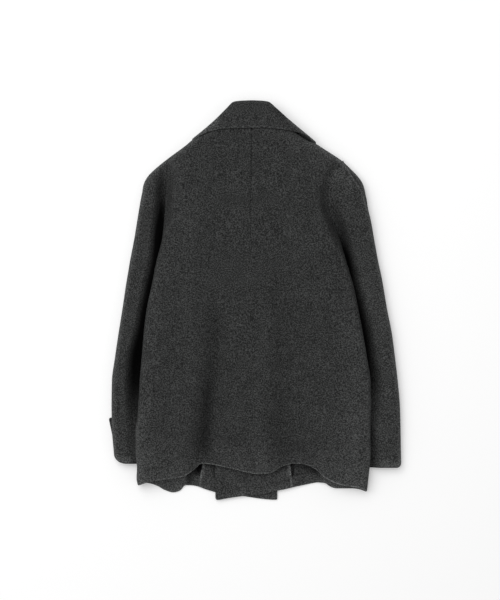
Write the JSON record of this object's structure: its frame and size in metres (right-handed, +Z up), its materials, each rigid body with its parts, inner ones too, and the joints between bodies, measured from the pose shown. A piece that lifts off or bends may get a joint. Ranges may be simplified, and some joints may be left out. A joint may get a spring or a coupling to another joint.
{
  "type": "pea coat",
  "caption": "Double-breasted pea coat of thick dark wool, laid flat on its front with its back up, its arms at its sides and its wide collar turned down.",
  "frame": {"origin": "middle of the coat's outline, on the surface it lies on", "axes": "+X across the coat towards the wearer's right, +Y from the hem up to the collar, +Z up through the coat, away from the surface"},
  "size_m": [0.6132, 0.838, 0.0461],
  "materials": {
    "wool": "matte charcoal melton wool",
    "facing": "matte charcoal melton wool",
    "collar": "matte charcoal melton wool",
    "button": "black, slightly shiny"
  },
  "bodies": {
    "root": {"back_left": "wool", "back_right": "wool", "front_left": "wool", "front_right": "wool", "facing_left": "facing", "facing_right": "facing", "sleeve_top_left": "wool", "sleeve_top_right": "wool", "sleeve_under_left": "wool", "sleeve_under_right": "wool", "sleeve_strap_left": "wool", "sleeve_strap_right": "wool", "lapel_left": "collar", "lapel_right": "collar", "collar_fall": "collar", "collar_stand": "collar", "button_1": "button", "button_2": "button", "button_3": "button", "button_4": "button", "button_5": "button", "button_6": "button"}
  },
  "joints": []
}
